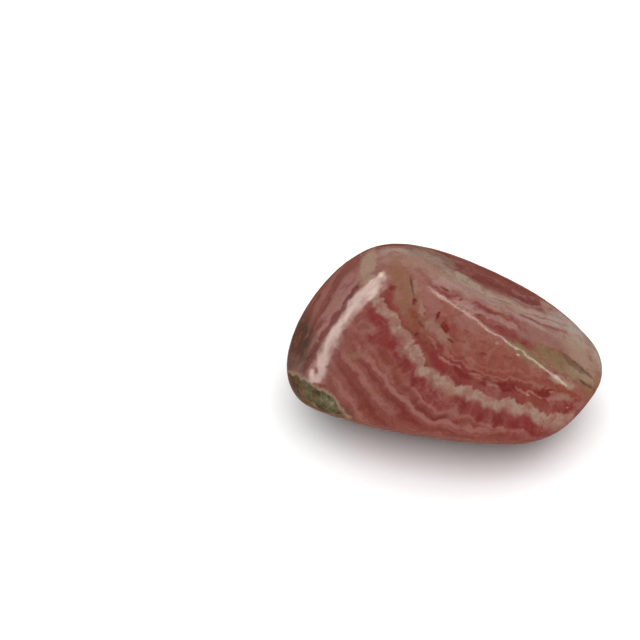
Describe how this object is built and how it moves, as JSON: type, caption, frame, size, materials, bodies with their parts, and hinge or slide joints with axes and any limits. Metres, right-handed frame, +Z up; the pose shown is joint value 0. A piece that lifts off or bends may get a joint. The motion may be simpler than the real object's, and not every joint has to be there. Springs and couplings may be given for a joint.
{
  "type": "tumbled rhodochrosite stone",
  "caption": "Hand-polished, tumbled rhodochrosite pebble with soft facets, pink and cream banding and a flat spot to rest on.",
  "frame": {"origin": "on the resting plane, under the middle of the stone's bounding box", "axes": "+Z up from the surface the stone lies on; +X along the stone's longest side, towards its narrow end; -Y is the side that the broad polished front looks towards"},
  "size_m": [0.0362, 0.028, 0.0192],
  "materials": {
    "rhodochrosite": "polished"
  },
  "bodies": {
    "root": {"stone": "rhodochrosite"}
  },
  "joints": []
}
